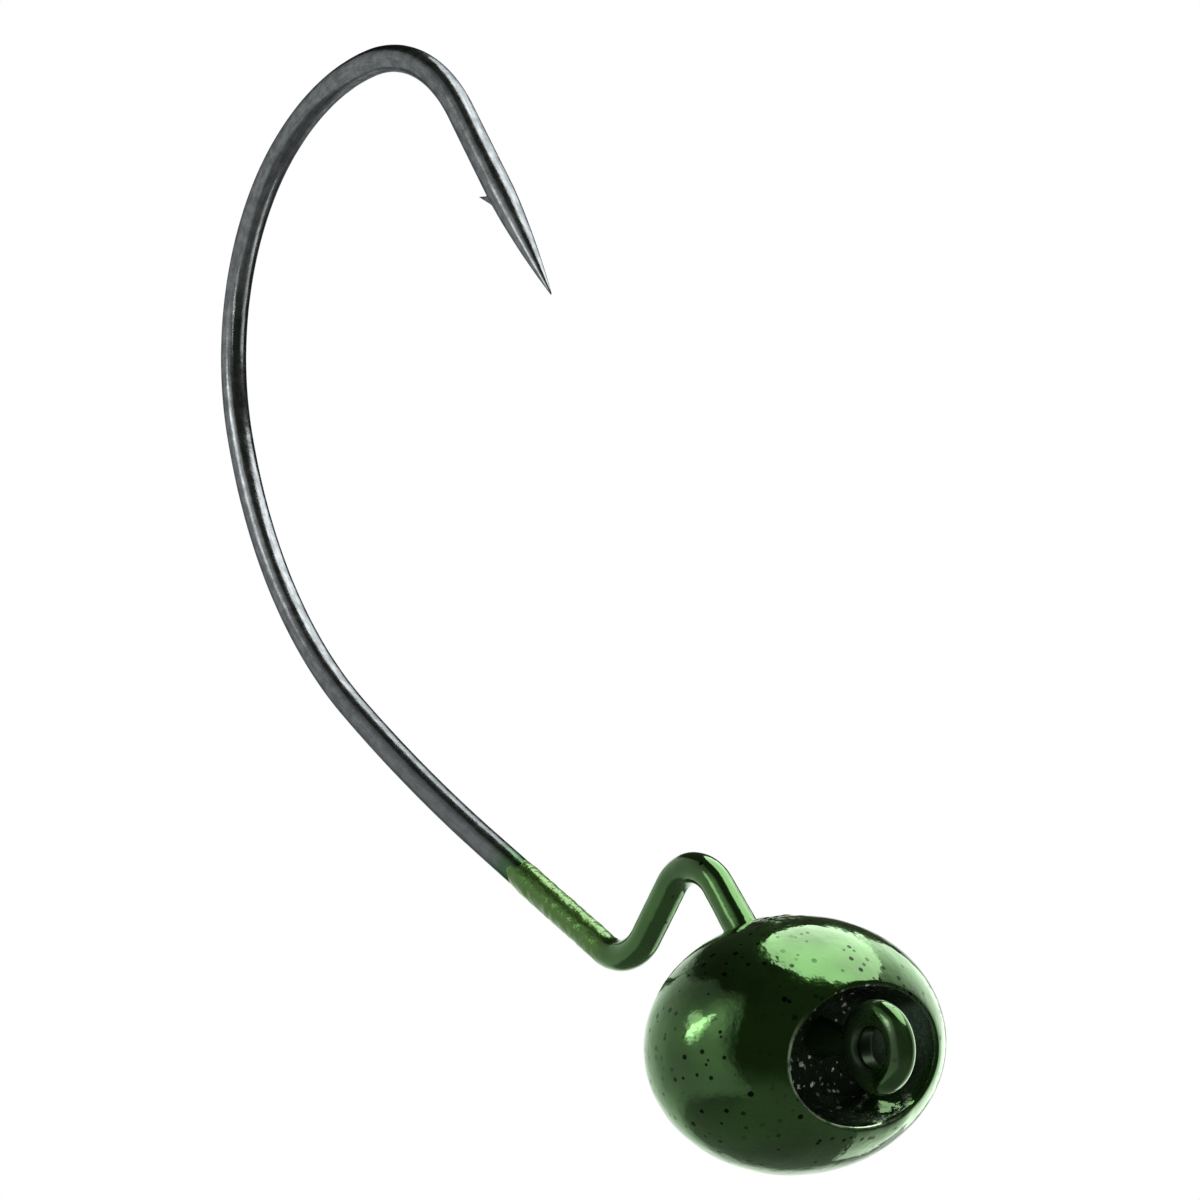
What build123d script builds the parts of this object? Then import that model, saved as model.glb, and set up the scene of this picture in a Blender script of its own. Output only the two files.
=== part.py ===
from build123d import *
import math
import os

# A fixed-hook football jig head, in millimetres.
# The origin is the centre of the line-tie eye. The hook lies in the XZ plane: +X points
# forward, to the fishing line, +Z to the side that the hook bends round to, and +Y runs
# across, along the long axis of the football-shaped head.

os.makedirs("parts", exist_ok=True)

# Steel wire of the hook
wire_diameter = 1.25
eye_wire_diameter = 1.04
eye_leg_diameter = 0.96

# Line-tie eye: a ring in the hook's plane, coined flat round its inside
eye_ring_radius = 1.25
eye_land_depth = 0.03
eye_taper_length = 1.5
eye_leg_overlap = 0.05

# Run of the wire from the eye to the point: straight lengths, and bends with a radius on
# the wire's centreline and an angle in degrees
eye_leg_length = 2.25
buried_bend_radius = 2.5
buried_bend_angle = 47.2
riser_length = 6.3
peak_radius = 2.0
peak_angle = 100.1
keeper_length = 2.8
valley_radius = 2.4
valley_angle = 77.3
shank_length = 9.6
sweep_radius = 103.0
sweep_angle = 6.8
back_radius = 23.5
back_angle = 42.0
heel_radius = 12.6
heel_angle = 67.7
crown_radius = 14.7
crown_angle = 33.7
throat_radius = 8.2
throat_angle = 57.1
point_leg_length = 5.1

# Needle point, and a barb at its foot, measured along the wire
point_length = 6.0
point_tip_radius = 0.03
point_belly_radius = 0.42
barb_on_point_length = 0.3
barb_base_length = 0.9
barb_rake = 0.45
barb_height = 0.7
barb_sink = 0.06
barb_thickness = 0.45

# Lead head: a football, round about its Y axis, with an oval pocket in its front
head_half_length = 6.42
head_radius = 4.98
head_centre_x = -4.81
head_centre_z = -0.42
pocket_half_width = 3.77
pocket_half_height = 2.76
pocket_centre_z = -0.36
pocket_depth = 2.6
pocket_draft_angle = 13.0
pocket_floor_fillet = 0.8
pocket_rim_fillet = 0.15
plug_overrun = 1.0

# Paint film on the casting, the Z-bent neck and the eye
head_coat = 0.06
neck_coat = 0.04
neck_coat_at_head = 0.09
eye_coat = 0.05
coated_shank_length = 6.9

wire_radius = wire_diameter / 2
eye_wire_radius = eye_wire_diameter / 2
across = Plane(origin=(0, 0, 0), z_dir=(0, 1, 0))

NECK = [
    (eye_leg_length - eye_taper_length, buried_bend_radius, -buried_bend_angle),
    (riser_length, peak_radius, peak_angle),
    (keeper_length, valley_radius, -valley_angle),
]
BEND = [
    (shank_length, sweep_radius, -sweep_angle),
    (0, back_radius, -back_angle),
    (0, heel_radius, -heel_angle),
    (0, crown_radius, -crown_angle),
    (0, throat_radius, -throat_angle),
    (point_leg_length, 0, 0),
]


def wire_run(stretches, start, heading):
    """Edges of straight lengths and tangent bends, drawn flat in XY."""
    edges = []
    for straight, radius, angle in stretches:
        if straight:
            edges.append(Edge.make_line(start, start + heading * straight))
            start = edges[-1] @ 1
        if angle:
            edges.append(JernArc(start, heading, radius, angle))
            start = edges[-1] @ 1
            heading = edges[-1] % 1
    return [Plane.XZ * edge for edge in edges]


def flat(vector):
    """A place or direction in the hook's plane, as drawn flat in XY."""
    return Vector(vector.X, vector.Z)


def plane_across(edge, place):
    """The plane square to an edge at 0, its start, or 1, its end."""
    return Plane(origin=edge @ place, z_dir=edge % place, x_dir=(0, 1, 0))


def round_bar(edges, radius, bore=0):
    """A round bar along tangent edges, or a tube if it has a bore."""
    section = Circle(radius)
    if bore:
        section -= Circle(bore)
    return sweep(plane_across(edges[0], 0) * section, path=Wire(edges))


def turned_bar(plane, length, radius, end_radius, bore=0):
    """A straight bar or tube that tapers from radius to end_radius."""
    profile = Polyline((bore, 0), (radius, 0), (end_radius, length), (bore, length), close=True)
    return plane * revolve(Plane.XZ * make_face(profile), Axis.Z)


def eye_ring(radius):
    """The ring of the line tie, with its hole along Y."""
    return across * Torus(eye_ring_radius, radius)


def eye_bore():
    """The hole of the line tie, as a solid cylinder."""
    bore_radius = eye_ring_radius - eye_wire_radius + eye_land_depth
    drill_length = 2 * wire_diameter
    return across * Cylinder(bore_radius, drill_length)


def eye_leg(grow=0):
    """The tapered leg between the ring and the full wire."""
    start_x = eye_leg_overlap - eye_ring_radius
    start = Plane(origin=(start_x, 0, 0), z_dir=(-1, 0, 0), x_dir=(0, 1, 0))
    length = eye_taper_length + eye_leg_overlap
    return turned_bar(start, length, eye_leg_diameter / 2 + grow, wire_radius + grow)


def needle_point(plane):
    """The point, a cone with a slight belly."""
    side = ThreePointArc(
        (wire_radius, 0), (point_belly_radius, point_length / 2), (point_tip_radius, point_length)
    )
    profile = side + Polyline(
        (point_tip_radius, point_length), (0, point_length), (0, 0), (wire_radius, 0)
    )
    return plane * revolve(Plane.XZ * make_face(profile), Axis.Z)


def barb(foot, heading):
    """A sliver of the wire, lifted on the inside of the bend at the foot of the point."""
    inward = Vector(0, 1, 0).cross(heading)
    back = -heading
    front_root = foot + heading * barb_on_point_length
    rear_root = front_root + back * barb_base_length
    outline = Polyline(
        front_root,
        front_root + inward * (wire_radius - barb_sink),
        rear_root + back * barb_rake + inward * (wire_radius + barb_height),
        rear_root + inward * (wire_radius - barb_sink),
        rear_root,
        close=True,
    )
    return extrude(make_face(outline), barb_thickness / 2, dir=(0, 1, 0), both=True)


def make_hook(neck_edges, bend_edges):
    """The whole wire: eye, buried bend, Z-bent neck, shank, bend, point and barb."""
    leg = bend_edges[-1]
    bar = round_bar(neck_edges + bend_edges, wire_radius)
    hook = bar + eye_leg() + eye_ring(eye_wire_radius)
    hook += needle_point(plane_across(leg, 1))
    hook += barb(leg @ 1, leg % 1)
    return hook - eye_bore()


def football(grow=0):
    """The whole head without its pocket. The ball's pole lies where the wire comes out."""
    radius = head_radius + grow
    ball = Rot(0, buried_bend_angle - 90, 0) * Rot(0, 0, 90) * Sphere(1)
    ball = scale(ball, by=(radius, head_half_length + grow, radius))
    return Pos(head_centre_x, 0, head_centre_z) * ball


def head_body(grow=0):
    """The head with its pocket, and every surface moved out by grow."""
    body = football(grow) - pocket_plug(grow)
    front_edges = body.edges().filter_by(lambda edge: edge.center().X > head_centre_x)
    rim = front_edges.sort_by(Edge.length)[-1]
    return fillet(rim, pocket_rim_fillet + grow)


def pocket_plug(grow=0):
    """The drafted oval plug that leaves the pocket, smaller all round by grow."""
    rim_x = head_centre_x + head_radius * (1 - (pocket_half_width / head_half_length) ** 2) ** 0.5
    floor_x = rim_x - pocket_depth + grow
    mouth_x = head_centre_x + head_radius + plug_overrun
    sections = []
    for x in (floor_x, mouth_x):
        spread = (x - rim_x) * math.tan(math.radians(pocket_draft_angle)) - grow
        oval = Ellipse(pocket_half_width + spread, pocket_half_height + spread)
        plane = Plane(origin=(x, 0, pocket_centre_z), z_dir=(1, 0, 0), x_dir=(0, 1, 0))
        sections.append(plane * oval)
    plug = loft(sections, ruled=True)
    floor_edge = plug.edges().sort_by(Axis.X)[0]
    return fillet(floor_edge, pocket_floor_fillet)


def make_neck_coat(neck_edges, shank_edge, head_outside):
    """The paint on the neck, thicker on the riser next to the head."""
    riser, after_riser = neck_edges[2], neck_edges[3:]
    end = shank_edge.trim_to_length(0, coated_shank_length)
    sleeve = round_bar(after_riser + [end], wire_radius + neck_coat, wire_radius)
    collar = turned_bar(
        plane_across(riser, 0),
        riser_length,
        wire_radius + neck_coat_at_head,
        wire_radius + neck_coat,
        wire_radius,
    )
    return sleeve + collar - head_outside


def make_eye_coat(neck_edges, hook, head_outside):
    """The paint on the eye and its leg, down to the pocket's floor, cleared out of the hole."""
    full_leg = round_bar(neck_edges[:1], wire_radius + eye_coat)
    coat = eye_ring(eye_wire_radius + eye_coat) + eye_leg(eye_coat) + full_leg
    return coat - hook - eye_bore() - head_outside


neck = wire_run(NECK, Vector(-eye_ring_radius - eye_taper_length, 0), Vector(-1, 0))
bend = wire_run(BEND, flat(neck[-1] @ 1), flat(neck[-1] % 1))
hook = make_hook(neck, bend)
casting = head_body()
painted_casting = head_body(head_coat)

parts = {
    "hook": hook,
    "lead_head": casting - hook,
    "head_paint": painted_casting - casting - hook,
    "neck_paint": make_neck_coat(neck, bend[0], painted_casting),
    "eye_paint": make_eye_coat(neck, hook, painted_casting),
}
for name, shape in parts.items():
    export_step(shape, f"parts/{name}.step")
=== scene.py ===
# %% [markdown]
# # Dressing a football jig head
# A jig head is a bent hook with a lead weight cast round it, dipped in paint. The packed
# model already has the right sizes, so this lesson only gives it its looks. Every length is
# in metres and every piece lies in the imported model's own frame, with the origin in the
# line-tie eye.

# %% Load the frame
import math

import bmesh
import bpy
from mathutils import Matrix, Vector, noise


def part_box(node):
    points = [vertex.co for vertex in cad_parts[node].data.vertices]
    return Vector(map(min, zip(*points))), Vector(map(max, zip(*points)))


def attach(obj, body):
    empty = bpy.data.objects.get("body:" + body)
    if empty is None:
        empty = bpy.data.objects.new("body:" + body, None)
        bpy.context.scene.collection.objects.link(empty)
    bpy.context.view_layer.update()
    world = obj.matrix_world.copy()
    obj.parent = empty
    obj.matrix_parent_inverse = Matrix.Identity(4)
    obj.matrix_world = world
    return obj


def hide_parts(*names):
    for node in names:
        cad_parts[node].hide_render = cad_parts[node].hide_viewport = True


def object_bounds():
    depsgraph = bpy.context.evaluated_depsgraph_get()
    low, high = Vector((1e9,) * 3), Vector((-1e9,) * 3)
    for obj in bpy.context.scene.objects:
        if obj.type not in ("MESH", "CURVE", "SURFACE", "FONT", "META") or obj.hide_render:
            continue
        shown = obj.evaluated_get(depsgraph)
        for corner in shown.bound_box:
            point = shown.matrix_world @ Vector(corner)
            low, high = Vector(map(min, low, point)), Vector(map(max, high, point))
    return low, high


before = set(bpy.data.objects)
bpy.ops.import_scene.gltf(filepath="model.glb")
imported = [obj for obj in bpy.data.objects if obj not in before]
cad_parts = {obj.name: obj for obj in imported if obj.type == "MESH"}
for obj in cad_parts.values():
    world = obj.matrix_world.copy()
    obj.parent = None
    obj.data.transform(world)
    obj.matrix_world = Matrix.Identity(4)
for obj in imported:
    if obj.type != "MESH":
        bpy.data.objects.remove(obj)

MM = 0.001
cad_box = [list(corner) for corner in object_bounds()]
cad_low, cad_high = Vector(cad_box[0]), Vector(cad_box[1])
print("nodes", sorted(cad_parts), "size in mm", [round(s / MM, 2) for s in cad_high - cad_low])

# %% [markdown]
# ## The camera
# A small object is shot from a hand's width away with a long lens. The lens looks level, from
# the front quarter, so that the hook's plane is seen half turned and the pocket in the head
# shows. The aim is given as a share of the part's own box, so it follows the part's size.

# %% Place the camera
scene = bpy.context.scene
camera_azimuth = math.radians(53)
camera_distance = 139.24 * MM
aim_share = (0.61343, 0.5, 0.46677)

aim = Vector([low + (high - low) * share for low, high, share in zip(cad_low, cad_high, aim_share)])
towards_camera = Vector((math.sin(camera_azimuth), -math.cos(camera_azimuth), 0))
camera_data = bpy.data.cameras.new("camera")
camera_data.lens = 99
camera_data.sensor_width = 36
camera_data.clip_start = 5 * MM
camera_data.clip_end = 10
camera = bpy.data.objects.new("camera", camera_data)
camera.location = aim + towards_camera * camera_distance
camera.rotation_euler = (math.pi / 2, 0, camera_azimuth)
scene.collection.objects.link(camera)
scene.camera = camera
print("camera at", [round(c / MM, 2) for c in camera.location], "mm")

# %% [markdown]
# ## The backdrop
# The set is white. One background serves what the lens and the shiny surfaces see,
# at a strength of 1, and a softer one serves the light that falls on the part, so the white
# of the set doesn't wash the dark paint out.

# %% White set, softer fill
def new_node(tree, kind, **values):
    """Adds a node. A value names one of its settings, or an input by name."""
    node = tree.nodes.new(kind)
    for name, value in values.items():
        if hasattr(node, name):
            setattr(node, name, value)
        else:
            node.inputs[name.replace("_", " ")].default_value = value
    return node


def join(output, socket):
    """Links an output to an input. A socket knows its own tree, so it isn't named again."""
    socket.id_data.links.new(output, socket)


def set_seen(tree):
    """1 for rays from the lens, a mirror or glass, and 0 for those that light the part."""
    path = new_node(tree, "ShaderNodeLightPath")
    total = path.outputs["Is Camera Ray"]
    for name in ("Is Glossy Ray", "Is Transmission Ray"):
        adder = new_node(tree, "ShaderNodeMath", operation="MAXIMUM")
        join(total, adder.inputs[0])
        join(path.outputs[name], adder.inputs[1])
        total = adder.outputs[0]
    return total


def show_mix(share, first, second, output):
    """Shows a mix of two shaders: the first at a share of 0 and the second at 1."""
    mix = new_node(share.id_data, "ShaderNodeMixShader")
    for source, socket in zip((share, first.outputs[0], second.outputs[0]), mix.inputs):
        join(source, socket)
    join(mix.outputs[0], output.inputs["Surface"])


WHITE = (1, 1, 1, 1)
fill_strength = 0.45
world = bpy.data.worlds.new("white_set")
world.use_nodes = True
scene.world = world
tree = world.node_tree
tree.nodes.clear()
fill = new_node(tree, "ShaderNodeBackground", Color=WHITE, Strength=fill_strength)
seen = new_node(tree, "ShaderNodeBackground", Color=WHITE, Strength=1.0)
output = new_node(tree, "ShaderNodeOutputWorld")
show_mix(set_seen(tree), fill, seen, output)
scene.view_settings.view_transform = "Standard"
print("fill strength", fill_strength)

# %% [markdown]
# ## The floor
# The part hangs by its line-tie eye, so the floor lies a little way below it and takes a soft
# shadow. Close to the part the floor is plain pale card. Further out it brightens into the
# white set, as a studio's paper sweep does, so no horizon line shows. Shiny surfaces don't
# see the floor: the tent in the next step gives them a floor without a hard edge.

# %% Pale floor
def link_object(name, bm, material):
    """Puts a finished bmesh in the scene with its material, at the origin."""
    mesh = bpy.data.meshes.new(name)
    bm.to_mesh(mesh)
    bm.free()
    mesh.materials.append(material)
    thing = bpy.data.objects.new(name, mesh)
    scene.collection.objects.link(thing)
    return thing


def object_coordinates(tree):
    """The place on the piece, in the part's own frame."""
    return new_node(tree, "ShaderNodeTexCoord").outputs["Object"]


def ramp(value, low, high, at_low, at_high, smooth=True):
    """Runs from at_low to at_high while the value runs from low to high."""
    shape = "SMOOTHSTEP" if smooth else "LINEAR"
    node = new_node(value.id_data, "ShaderNodeMapRange", interpolation_type=shape)
    for socket, number in zip(node.inputs[1:5], (low, high, at_low, at_high)):
        socket.default_value = number
    join(value, node.inputs[0])
    return node.outputs[0]


def arithmetic(tree, operation, first, second=None):
    """One Math node. Its inputs are sockets or plain numbers."""
    node = new_node(tree, "ShaderNodeMath", operation=operation)
    for socket, value in zip(node.inputs, (first, second)):
        if isinstance(value, (int, float)):
            socket.default_value = value
        elif value is not None:
            join(value, socket)
    return node.outputs[0]


def multiply(tree, first, *others):
    """The product of sockets and plain numbers."""
    for other in others:
        first = arithmetic(tree, "MULTIPLY", first, other)
    return first


def length_of(vector):
    """How long a vector is."""
    node = new_node(vector.id_data, "ShaderNodeVectorMath", operation="LENGTH")
    join(vector, node.inputs[0])
    return node.outputs["Value"]


def split(vector):
    """The X, Y and Z of a vector, as outputs with those names."""
    node = new_node(vector.id_data, "ShaderNodeSeparateXYZ")
    join(vector, node.inputs[0])
    return node.outputs


def new_material(name):
    """An empty node material, its tree and its output node."""
    material = bpy.data.materials.new(name)
    material.use_nodes = True
    material.node_tree.nodes.clear()
    return material, material.node_tree, new_node(material.node_tree, "ShaderNodeOutputMaterial")


floor_drop = 18 * MM
floor_half = 0.8
card_radius = 28 * MM
sweep_radius = 76 * MM
card_colour = (0.74, 0.74, 0.73, 1)

floor_material, tree, output = new_material("pale_floor")
card = new_node(tree, "ShaderNodeBsdfDiffuse", Color=card_colour)
glow = new_node(tree, "ShaderNodeEmission", Color=WHITE, Strength=1.0)
far = ramp(length_of(object_coordinates(tree)), card_radius, sweep_radius, 0, 1)
show_mix(multiply(tree, far, set_seen(tree)), card, glow, output)

bm = bmesh.new()
bmesh.ops.create_grid(bm, x_segments=2, y_segments=2, size=floor_half)
floor = link_object("floor", bm, floor_material)
floor.location = ((cad_low.x + cad_high.x) / 2, 0, cad_low.z - floor_drop)
floor.visible_glossy = False
print("floor", round(floor_drop / MM, 1), "mm below the part")

# %% [markdown]
# ## A tent of light
# Glossy paint and plated wire show little but their surroundings, so the surroundings are
# half of the look. In a studio such a part hangs in a tent: white cloth at the back and
# sides, and an opening at the front and top, which stays dark. The tent here is
# a ball that only mirror-like rays see. Its brightness is painted by two angles, the turn
# round the part and the height above the horizon, both counted from the front of the set.
# Four soft spots on the cloth stand for the glow of small lamps behind it at the left. At
# the right the tent is open too, but a small glowing card stands beside the head, so the head
# shows a bright right edge and the hook, further away, doesn't.

# %% Paint by angles
def facing(turn, height):
    """The direction at a turn and a height, with the front of the set along -Y."""
    turn, height = math.radians(turn), math.radians(height)
    level = Vector((math.sin(turn), -math.cos(turn), 0))
    return level * math.cos(height) + Vector((0, 0, math.sin(height)))


def soft_spot(tree, direction, turn, height, core, edge, level):
    """A round patch of light that fades out between core and edge degrees from its middle."""
    aimed = new_node(tree, "ShaderNodeVectorMath", operation="DOT_PRODUCT")
    aimed.inputs[1].default_value = facing(turn, height)
    join(direction, aimed.inputs[0])
    away = arithmetic(tree, "DEGREES", arithmetic(tree, "ARCCOSINE", aimed.outputs["Value"]))
    return ramp(away, core, edge, level, 0)


def only_in_reflections(thing):
    """Hides a thing of the set from all rays but those off a mirror."""
    for ray in ("camera", "diffuse", "transmission", "volume_scatter", "shadow"):
        setattr(thing, "visible_" + ray, False)


print("front of the set", [round(c, 2) for c in facing(0, 0)])

# %% Build the tent
tent_radius = 0.32
opening_level, opening_tint, tinted_below = 0.062, (0.90, 1.0, 0.70, 1), 0.25
under_level = 0.28
back, left_side = -180, -100
back_level, left_level, left_top_level, right_level = 1.25, 0.78, 0.45, 1.1
back_top, left_top, right_drop = 9, 60, 52
edge_slant = 0.6
# Turn, height, core and edge in degrees, and level
spots = [
    (-68, 16, 4, 9, 4.2),
    (-61, 25, 3, 9, 3.0),
    (-75, 27, 4, 11, 3.0),
    (-50, 34, 4, 24, 0.7),
]
tent_material, tree, output = new_material("tent_cloth")
direction = new_node(tree, "ShaderNodeVectorMath", operation="NORMALIZE")
join(object_coordinates(tree), direction.inputs[0])
parts = split(direction.outputs[0])
to_front = multiply(tree, parts["Y"], -1.0)
turn = arithmetic(tree, "DEGREES", arithmetic(tree, "ARCTAN2", parts["X"], to_front))
height = arithmetic(tree, "DEGREES", arithmetic(tree, "ARCSINE", parts["Z"]))

below = multiply(tree, arithmetic(tree, "MINIMUM", height, 0.0), edge_slant)
left_wall = multiply(
    tree,
    ramp(turn, back, left_side, back_level, left_level, False),
    ramp(arithmetic(tree, "ADD", turn, below), -44, -20, 1, 0),
    ramp(height, 12, 62, 1, left_top_level),
)
right_wall = ramp(turn, 150, 172, 0, right_level)
left_rise = ramp(turn, back, left_side, back_top, left_top, False)
wall_top = arithmetic(tree, "SUBTRACT", left_rise, ramp(turn, 40, 90, 0, right_drop))
below_top = ramp(arithmetic(tree, "SUBTRACT", height, wall_top), -6, 4, 1, 0)
above_foot = ramp(height, -52, -32, 0, 1)
wall = multiply(tree, arithmetic(tree, "ADD", left_wall, right_wall), below_top, above_foot)
under = ramp(height, -42, -4, under_level, opening_level)
cloth = arithmetic(tree, "MAXIMUM", wall, under)
for spot in spots:
    cloth = arithmetic(tree, "ADD", cloth, soft_spot(tree, direction.outputs[0], *spot))
tint = new_node(tree, "ShaderNodeMix", data_type="RGBA")
tint.inputs[6].default_value = opening_tint
tint.inputs[7].default_value = WHITE
join(ramp(cloth, opening_level, tinted_below, 0, 1), tint.inputs["Factor"])
glow = new_node(tree, "ShaderNodeEmission")
join(tint.outputs[2], glow.inputs["Color"])
join(cloth, glow.inputs["Strength"])
join(glow.outputs[0], output.inputs["Surface"])

bm = bmesh.new()
bmesh.ops.create_uvsphere(bm, u_segments=64, v_segments=32, radius=tent_radius)
tent = link_object("tent", bm, tent_material)
tent.rotation_euler = (0, 0, camera_azimuth)
only_in_reflections(tent)
print("tent radius", tent_radius, "m")

# %% [markdown]
# ## The softbox and the small lamp
# One large oval softbox hangs over the part's back right, and a small lamp stands close to
# the head's left. A lamp is given by where it stands as seen from the head, by its size as a
# share of its distance and by its brightness, where 1 is the white of the set. Its power
# follows from its brightness and its area. The small lamp only makes a highlight.

# %% Hang the lamps
head_low, head_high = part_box("head_paint")
head_radius = (head_high[2] - head_low[2]) / 2
head_half_length = (head_high[1] - head_low[1]) / 2
head_centre = Vector((head_low[0] + head_radius, 0, head_low[2] + head_radius))
to_set = Matrix.Rotation(camera_azimuth, 3, "Z")


def hang_lamp(name, turn, height, roll, wide, tall, level, distance, share_of_fill):
    """An oval area lamp aimed at the head."""
    place = to_set @ facing(turn, height)
    data = bpy.data.lights.new(name, "AREA")
    data.shape = "ELLIPSE"
    data.size = wide * distance
    data.size_y = tall * distance
    data.energy = math.pi * level * data.size * data.size_y
    data.diffuse_factor = share_of_fill
    lamp = bpy.data.objects.new(name, data)
    lamp.location = head_centre + place * distance
    aimed = place.to_track_quat("Z", "Y").to_matrix() @ Matrix.Rotation(math.radians(roll), 3, "Z")
    lamp.rotation_euler = aimed.to_euler()
    scene.collection.objects.link(lamp)
    print(name, "at", [round(c / MM) for c in lamp.location], "mm, power", round(data.energy, 4), "W")


hang_lamp("softbox", 130, 57, -28, wide=1.32, tall=1.04, level=3.6, distance=0.24, share_of_fill=0.46)
hang_lamp("small_lamp", -62, 24, 50, wide=0.62, tall=0.13, level=4.5, distance=0.05, share_of_fill=0.0)

# %% [markdown]
# ## A card beside the head
# A small glowing card stands close to the head, at its right. It is so close that only the head
# sees it. Its glow is painted light: brighter on its near side, as if the softbox lit it, and a
# little dimmer at its foot, so the card is graded across.

# %% White card
card_turn, card_distance = 124, 42 * MM
card_wide, card_low, card_high = 46 * MM, -58 * MM, 33 * MM
card_near_level, card_far_level, card_foot_share = 2.4, 0.5, 0.85

card_glow, tree, output = new_material("glowing_card")
parts = split(object_coordinates(tree))
# Painted light: the glow is brighter on the near side and dimmer at the foot
across = ramp(parts["X"], -card_wide / 2, card_wide / 2, card_far_level, card_near_level)
down = ramp(parts["Y"], card_low, 0, card_foot_share, 1)
glow = new_node(tree, "ShaderNodeEmission", Color=WHITE)
join(multiply(tree, across, down), glow.inputs["Strength"])
join(glow.outputs[0], output.inputs["Surface"])
bm = bmesh.new()
bmesh.ops.create_grid(bm, x_segments=1, y_segments=1, size=0.5)
bmesh.ops.scale(bm, vec=(card_wide, card_high - card_low, 1), verts=bm.verts)
bmesh.ops.translate(bm, vec=(0, (card_high + card_low) / 2, 0), verts=bm.verts)
side_card = link_object("side_card", bm, card_glow)
away = to_set @ facing(card_turn, 0)
side_card.location = head_centre + away * card_distance
side_card.rotation_euler = away.to_track_quat("Z", "Y").to_euler()
only_in_reflections(side_card)
print("card", round(card_distance / MM), "mm from the head")

# %% [markdown]
# ## Green paint with dark flecks
# The head is dipped in a see-through green over bright metal, so its reflections are green
# too. A metallic base with a clear coat does that. Three things keep it from looking like
# plastic: fine ripples where the paint flowed, flecks of dark glitter of a fifth of a
# millimetre in clusters, and specks of grit in the pocket, some painted pale as glints. The
# flecks break the clear coat, so they change the base colour and the coat's weight.

# %% Node helpers for patterns
def noise_at(place, wavelength, detail=2.0, roughness=0.5):
    """Soft noise with blobs about one wavelength across, in metres."""
    node = new_node(place.id_data, "ShaderNodeTexNoise", Scale=1 / wavelength, Detail=detail)
    node.inputs["Roughness"].default_value = roughness
    join(place, node.inputs["Vector"])
    return node.outputs["Fac"]


def distance_to(place, point):
    """How far a place is from a point."""
    node = new_node(place.id_data, "ShaderNodeVectorMath", operation="DISTANCE")
    node.inputs[1].default_value = point
    join(place, node.inputs[0])
    return node.outputs["Value"]


def mapped(place, location=(0, 0, 0), scale=(1, 1, 1)):
    """The place after it is scaled and then moved."""
    node = new_node(place.id_data, "ShaderNodeMapping", Location=location, Scale=scale)
    join(place, node.inputs["Vector"])
    return node.outputs[0]


def jittered(place):
    """The place moved about by fine noise, so that dots drawn there get ragged edges."""
    tree = place.id_data
    wavelength, reach = 0.14 * MM, 0.22 * MM
    waver = new_node(tree, "ShaderNodeTexNoise", Scale=1 / wavelength, Detail=1.0)
    join(place, waver.inputs["Vector"])
    shift = new_node(tree, "ShaderNodeVectorMath", operation="MULTIPLY_ADD")
    join(waver.outputs["Color"], shift.inputs[0])
    shift.inputs[1].default_value = (reach, reach, reach)
    join(place, shift.inputs[2])
    return shift.outputs[0]


def scattered_dots(place, spacing, smallest, largest):
    """1 inside dots of uneven size, one to a cell, and 0 between them, and each cell's luck."""
    tree = place.id_data
    cells = new_node(tree, "ShaderNodeTexVoronoi", feature="F1", Scale=1 / spacing, Randomness=1.0)
    join(place, cells.inputs["Vector"])
    luck = new_node(tree, "ShaderNodeSeparateColor")
    join(cells.outputs["Color"], luck.inputs[0])
    size = ramp(luck.outputs["Red"], 0, 1, smallest / spacing, largest / spacing, False)
    gap = arithmetic(tree, "SUBTRACT", cells.outputs["Distance"], size)
    return ramp(gap, -0.04, 0.04, 1, 0), luck.outputs


def blend_colours(tree, share, first, second):
    """A mix of two colours, each a socket or four numbers."""
    node = new_node(tree, "ShaderNodeMix", data_type="RGBA")
    join(share, node.inputs["Factor"])
    for socket, colour in zip((node.inputs[6], node.inputs[7]), (first, second)):
        if isinstance(colour, tuple):
            socket.default_value = colour
        else:
            join(colour, socket)
    return node.outputs[2]


def bumps(tree, layers):
    """Stacks bump nodes. A layer is a height from 0 to 1 and what that height is in metres."""
    below = None
    for height, depth in layers:
        node = new_node(tree, "ShaderNodeBump", Strength=1.0, Distance=depth)
        join(height, node.inputs["Height"])
        if below:
            join(below, node.inputs["Normal"])
        below = node.outputs[0]
    return below


print("pattern helpers ready")

# %% Green paint
paint_colour = (0.042, 0.118, 0.025, 1)
paint_deep = (0.023, 0.066, 0.012, 1)
fleck_colour = (0.003, 0.006, 0.002, 1)
recess_shade_colour = (0.012, 0.021, 0.010, 1)
lit_wall_colour = (0.075, 0.125, 0.080, 1)
thin_and_highlight_colour = (0.60, 0.72, 0.54, 1)
lumpy_colour = (0.060, 0.142, 0.024, 1)
grit_and_glint_colour = (0.90, 0.94, 0.88, 1)
edge_tint = (0.80, 1.0, 0.76, 1)
metal_share, dull_loss = 0.94, 0.7
coat_weight, coat_roughness, coat_ior = 0.5, 0.03, 1.5


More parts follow.
